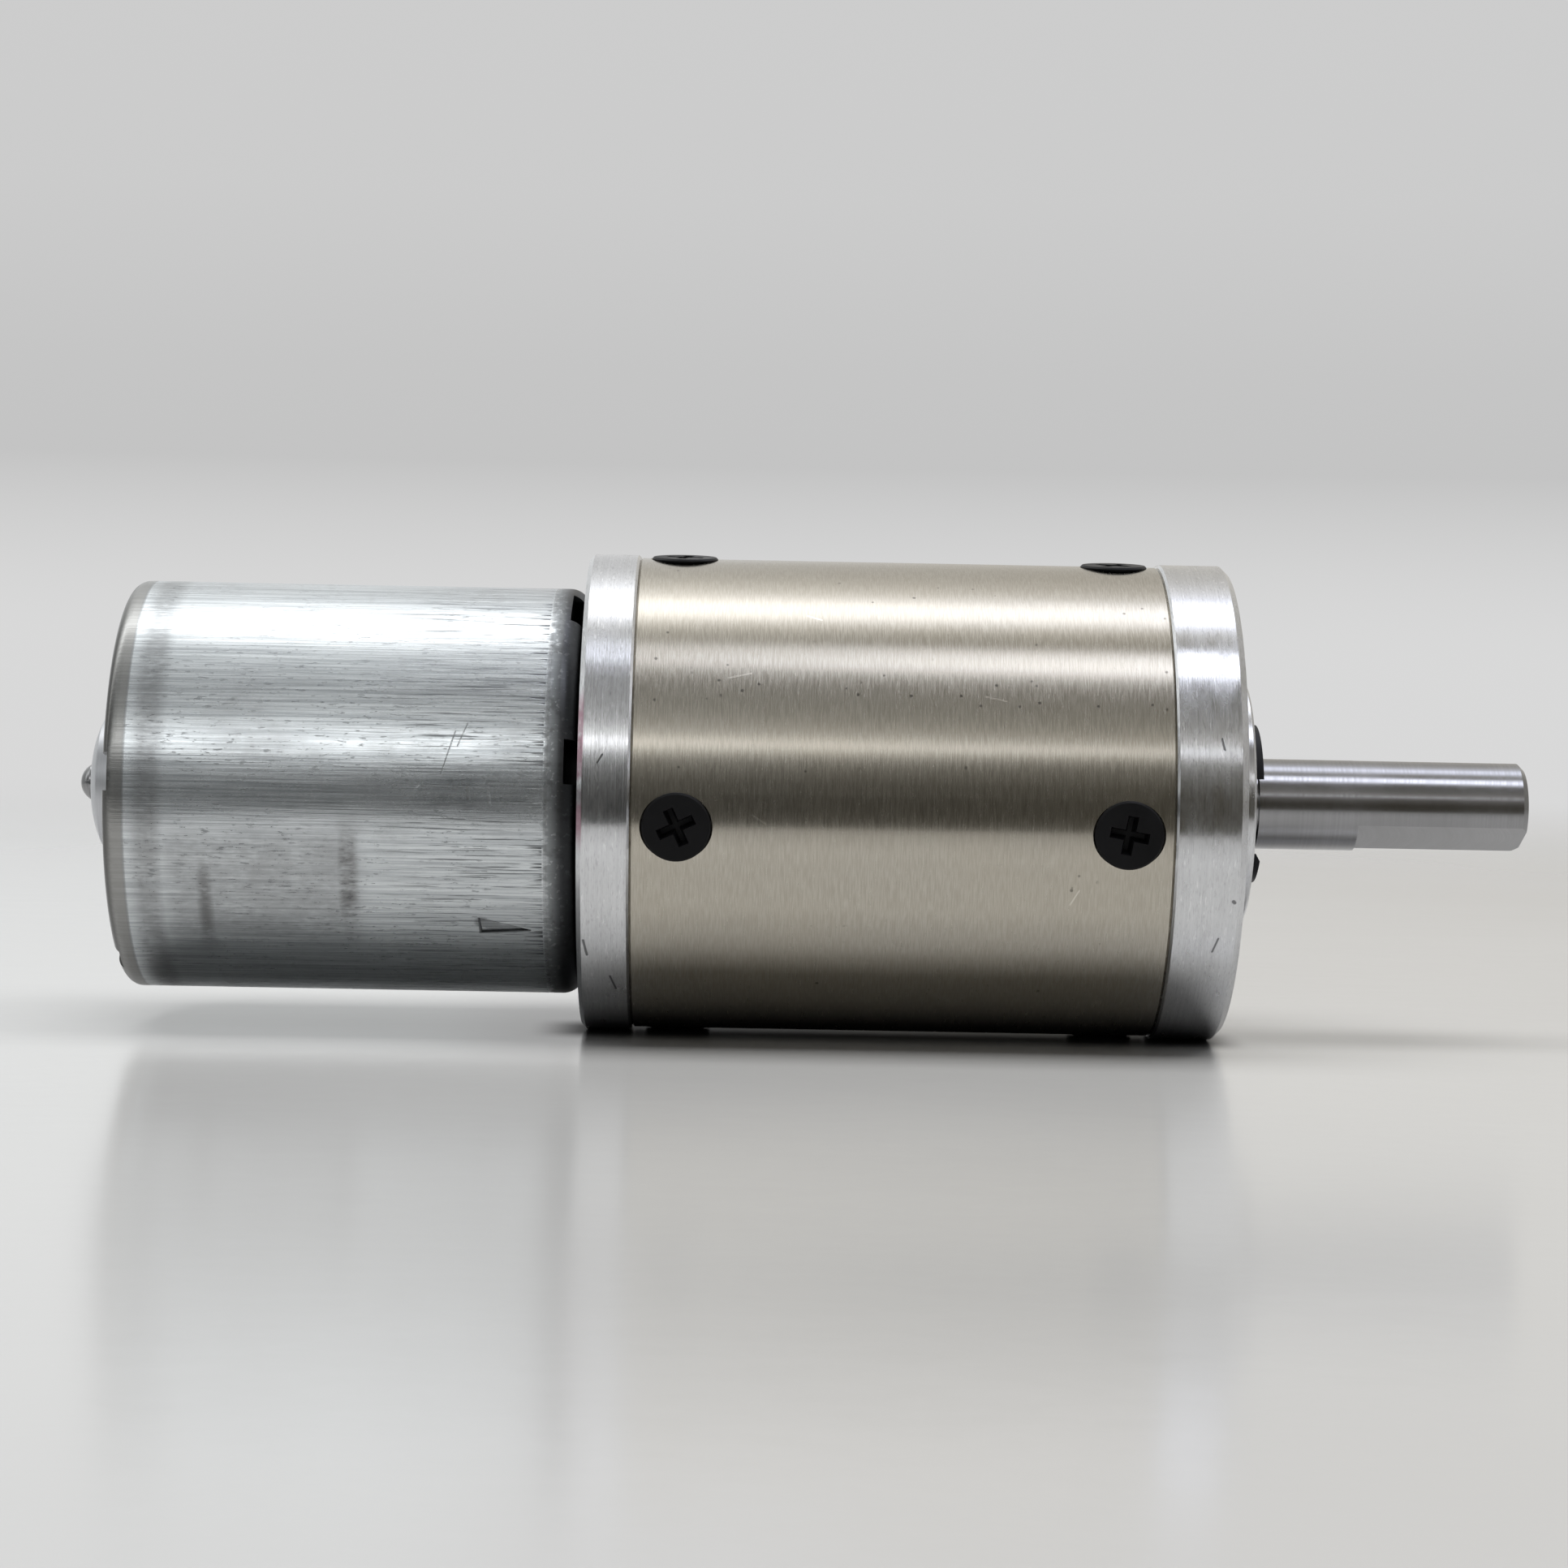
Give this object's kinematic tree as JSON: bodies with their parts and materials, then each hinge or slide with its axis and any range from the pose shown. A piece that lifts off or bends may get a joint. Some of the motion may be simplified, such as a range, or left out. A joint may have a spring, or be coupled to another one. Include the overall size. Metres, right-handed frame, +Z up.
{
  "type": "planetary gear motor",
  "caption": "Cylindrical planetary gearbox in a screwed steel housing with aluminium end flanges, a small brushed motor behind it and a D-cut output shaft in front.",
  "frame": {"origin": "centre of the output flange's mounting face, on the shaft axis", "axes": "+X along the output shaft, away from the gearbox; +Z up with the unit on its side as it lies on a table"},
  "size_m": [0.1278, 0.0422, 0.0422],
  "materials": {
    "housing_nickel": "satin nickel plate, brushed round the axis",
    "flange_aluminium": "turned, bare",
    "can_zinc": "zinc plated drawn steel, drawn along the axis",
    "cap_steel": "zinc plated pressed steel",
    "shaft_steel": "ground",
    "black_oxide": "black oxide on steel",
    "bearing_steel": "ground and polished",
    "gear_steel": "sintered steel, oiled",
    "spring_steel": "bright",
    "bronze": "sintered bronze, oiled",
    "terminal_brass": "tinned brass",
    "copper": "enamelled or bare copper",
    "ferrite": "ground ferrite",
    "core_steel": "stacked laminations",
    "black_plastic": "moulded",
    "carbon": "pressed copper graphite"
  },
  "bodies": {
    "root": {"ring_gear_housing": "housing_nickel", "output_flange": "flange_aluminium", "input_flange": "flange_aluminium", "output_flange_screws": "black_oxide", "input_flange_screws": "black_oxide", "motor_mount_screws": "spring_steel", "wear_plate": "spring_steel", "front_bearing_outer_ring": "bearing_steel", "front_bearing_shields": "bearing_steel", "rear_bearing_outer_ring": "bearing_steel", "rear_bearing_shields": "bearing_steel", "motor_can": "can_zinc", "end_cap": "cap_steel", "terminal_insulators": "black_plastic", "terminals": "terminal_brass", "front_bush": "bronze", "rear_bush": "bronze", "field_magnets": "ferrite", "magnet_springs": "spring_steel", "brush_plate": "black_plastic", "brushes": "carbon", "brush_springs": "spring_steel"},
    "output": {"output_shaft": "shaft_steel", "output_carrier": "gear_steel", "output_carrier_pins": "bearing_steel", "second_thrust_washers": "spring_steel", "front_bearing_inner_ring": "bearing_steel", "rear_bearing_inner_ring": "bearing_steel", "shaft_shim": "spring_steel", "retaining_clip": "black_oxide"},
    "first_carrier": {"first_carrier": "gear_steel", "first_carrier_pins": "bearing_steel", "first_thrust_washers": "spring_steel", "second_sun": "gear_steel"},
    "rotor": {"motor_shaft": "shaft_steel", "motor_pinion": "gear_steel", "armature_core": "core_steel", "armature_windings": "copper", "commutator_hub": "black_plastic", "commutator_segments": "copper", "armature_spacers": "black_plastic"},
    "front_bearing_cage": {"front_bearing_cage": "terminal_brass", "front_bearing_balls": "bearing_steel"},
    "rear_bearing_cage": {"rear_bearing_cage": "terminal_brass", "rear_bearing_balls": "bearing_steel"},
    "first_planet_1": {"first_planet_1": "gear_steel"},
    "first_planet_2": {"first_planet_2": "gear_steel"},
    "first_planet_3": {"first_planet_3": "gear_steel"},
    "second_planet_1": {"second_planet_1": "gear_steel"},
    "second_planet_2": {"second_planet_2": "gear_steel"},
    "second_planet_3": {"second_planet_3": "gear_steel"}
  },
  "joints": [
    {"name": "output_turn", "type": "hinge", "parent": "root", "child": "output", "pos_m": [0, 0, 0], "axis": [1, 0, 0], "continuous": true},
    {"name": "first_carrier_turn", "type": "hinge", "parent": "root", "child": "first_carrier", "pos_m": [0, 0, 0], "axis": [1, 0, 0], "continuous": true},
    {"name": "rotor_turn", "type": "hinge", "parent": "root", "child": "rotor", "pos_m": [0, 0, 0], "axis": [1, 0, 0], "continuous": true},
    {"name": "front_bearing_cage_turn", "type": "hinge", "parent": "root", "child": "front_bearing_cage", "pos_m": [0, 0, 0], "axis": [1, 0, 0], "continuous": true},
    {"name": "rear_bearing_cage_turn", "type": "hinge", "parent": "root", "child": "rear_bearing_cage", "pos_m": [0, 0, 0], "axis": [1, 0, 0], "continuous": true},
    {"name": "first_planet_1_turn", "type": "hinge", "parent": "first_carrier", "child": "first_planet_1", "pos_m": [0, 0, 0.0108], "axis": [1, 0, 0], "continuous": true},
    {"name": "first_planet_2_turn", "type": "hinge", "parent": "first_carrier", "child": "first_planet_2", "pos_m": [0, -0.00935, -0.0054], "axis": [1, 0, 0], "continuous": true},
    {"name": "first_planet_3_turn", "type": "hinge", "parent": "first_carrier", "child": "first_planet_3", "pos_m": [0, 0.00935, -0.0054], "axis": [1, 0, 0], "continuous": true},
    {"name": "second_planet_1_turn", "type": "hinge", "parent": "output", "child": "second_planet_1", "pos_m": [0, 0.00935, 0.0054], "axis": [1, 0, 0], "continuous": true},
    {"name": "second_planet_2_turn", "type": "hinge", "parent": "output", "child": "second_planet_2", "pos_m": [0, -0.00935, 0.0054], "axis": [1, 0, 0], "continuous": true},
    {"name": "second_planet_3_turn", "type": "hinge", "parent": "output", "child": "second_planet_3", "pos_m": [0, 0, -0.0108], "axis": [1, 0, 0], "continuous": true}
  ],
  "couplings": [
    {"joint": "first_carrier_turn", "follows": "output_turn", "ratio": 4},
    {"joint": "rotor_turn", "follows": "output_turn", "ratio": 16},
    {"joint": "front_bearing_cage_turn", "follows": "output_turn", "ratio": 0.38889},
    {"joint": "rear_bearing_cage_turn", "follows": "output_turn", "ratio": 0.38889},
    {"joint": "first_planet_1_turn", "follows": "output_turn", "ratio": -12},
    {"joint": "first_planet_2_turn", "follows": "output_turn", "ratio": -12},
    {"joint": "first_planet_3_turn", "follows": "output_turn", "ratio": -12},
    {"joint": "second_planet_1_turn", "follows": "output_turn", "ratio": -3},
    {"joint": "second_planet_2_turn", "follows": "output_turn", "ratio": -3},
    {"joint": "second_planet_3_turn", "follows": "output_turn", "ratio": -3}
  ]
}
